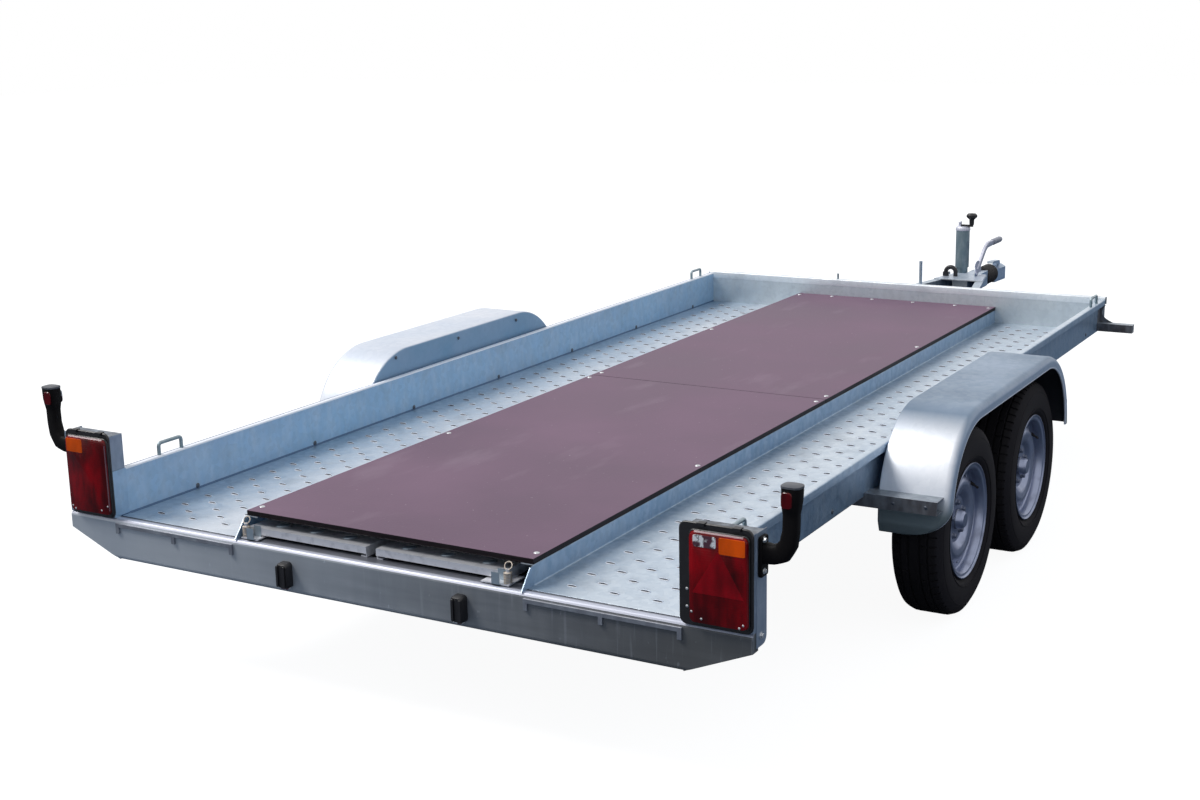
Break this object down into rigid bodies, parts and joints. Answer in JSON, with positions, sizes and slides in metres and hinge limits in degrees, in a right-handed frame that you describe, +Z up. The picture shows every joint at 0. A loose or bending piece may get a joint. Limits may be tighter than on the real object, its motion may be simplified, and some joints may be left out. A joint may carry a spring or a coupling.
{
  "type": "car hauler trailer",
  "caption": "Open tandem-axle trailer for carrying a car, with track trays, a raised centre deck, stored ramps, mudguards, overrun coupling and a jockey wheel.",
  "frame": {"origin": "on the ground, below the middle of the overall length and width", "axes": "+X forward to the coupling, +Y to the left, +Z up"},
  "size_m": [5.686, 2.432, 0.826],
  "materials": {
    "galvanised": "hot-dip galvanised, dull with a faint spangle",
    "deck_board": "film-faced plywood with a fine mesh texture",
    "black_plastic": "moulded, matt",
    "ramp_steel": "galvanised, bright",
    "black_paint": "satin black paint",
    "rim_paint": "silver paint",
    "tyre": "matt black rubber",
    "red_lens": "moulded lens, glossy",
    "black_rubber": "soft moulded rubber",
    "zinc_plate": "zinc plated, satin"
  },
  "bodies": {
    "chassis": {"rear_beam": "galvanised", "track_left": "galvanised", "track_right": "galvanised", "front_wall": "galvanised", "deck_board_rear": "deck_board", "deck_board_front": "deck_board", "drawbar_left": "galvanised", "drawbar_right": "galvanised", "cross_members": "galvanised", "ramp_runners": "black_plastic", "axle_tubes": "galvanised", "swing_arms": "galvanised", "brake_plates": "black_paint", "mudguard_left": "galvanised", "mudguard_right": "galvanised", "mudguard_sides_left": "galvanised", "mudguard_sides_right": "galvanised", "mudguard_brackets": "galvanised", "lamp_boxes": "galvanised", "tail_lamps": "red_lens", "marker_arms": "black_rubber", "plate_lamps": "black_plastic", "hook_rails": "galvanised", "lashing_hoops": "galvanised", "front_outriggers": "galvanised", "overrun_housing": "galvanised", "gaiter": "black_rubber", "coupling_head": "galvanised", "handbrake_lever": "zinc_plate", "brake_rod": "galvanised", "jockey_clamp": "galvanised", "jockey_outer_tube": "zinc_plate", "jockey_crank": "black_plastic", "upright_rod": "galvanised", "plug_lead": "black_plastic"},
    "wheel_rear_left": {"wheel_rear_left": "rim_paint", "tyre_rear_left": "tyre"},
    "wheel_rear_right": {"wheel_rear_right": "rim_paint", "tyre_rear_right": "tyre"},
    "wheel_front_left": {"wheel_front_left": "rim_paint", "tyre_front_left": "tyre"},
    "wheel_front_right": {"wheel_front_right": "rim_paint", "tyre_front_right": "tyre"},
    "jockey_tube": {"jockey_inner_tube": "zinc_plate"},
    "jockey_swivel": {"jockey_fork": "zinc_plate"},
    "jockey_roller": {"jockey_wheel": "black_rubber"},
    "ramp_left": {"ramp_left": "ramp_steel"},
    "ramp_right": {"ramp_right": "ramp_steel"}
  },
  "joints": [
    {"name": "wheel_rear_left_spin", "type": "hinge", "parent": "chassis", "child": "wheel_rear_left", "pos_m": [-1.255, 1.068, 0.302], "axis": [0, 1, 0], "continuous": true},
    {"name": "wheel_rear_right_spin", "type": "hinge", "parent": "chassis", "child": "wheel_rear_right", "pos_m": [-1.255, -1.068, 0.302], "axis": [0, 1, 0], "continuous": true},
    {"name": "wheel_front_left_spin", "type": "hinge", "parent": "chassis", "child": "wheel_front_left", "pos_m": [-0.565, 1.068, 0.302], "axis": [0, 1, 0], "continuous": true},
    {"name": "wheel_front_right_spin", "type": "hinge", "parent": "chassis", "child": "wheel_front_right", "pos_m": [-0.565, -1.068, 0.302], "axis": [0, 1, 0], "continuous": true},
    {"name": "jockey_slide", "type": "slide", "parent": "chassis", "child": "jockey_tube", "axis": [0, 0, 1], "range_m": [-0.15, 0.08]},
    {"name": "jockey_swivel_turn", "type": "hinge", "parent": "jockey_tube", "child": "jockey_swivel", "pos_m": [2.448, 0.088, 0.24], "axis": [0, 0, 1], "continuous": true},
    {"name": "jockey_roller_spin", "type": "hinge", "parent": "jockey_swivel", "child": "jockey_roller", "pos_m": [2.408, 0.088, 0.1], "axis": [0, 1, 0], "continuous": true},
    {"name": "ramp_left_slide", "type": "slide", "parent": "chassis", "child": "ramp_left", "axis": [-1, 0, 0], "range_m": [0, 1.8]},
    {"name": "ramp_right_slide", "type": "slide", "parent": "chassis", "child": "ramp_right", "axis": [-1, 0, 0], "range_m": [0, 1.8]}
  ]
}
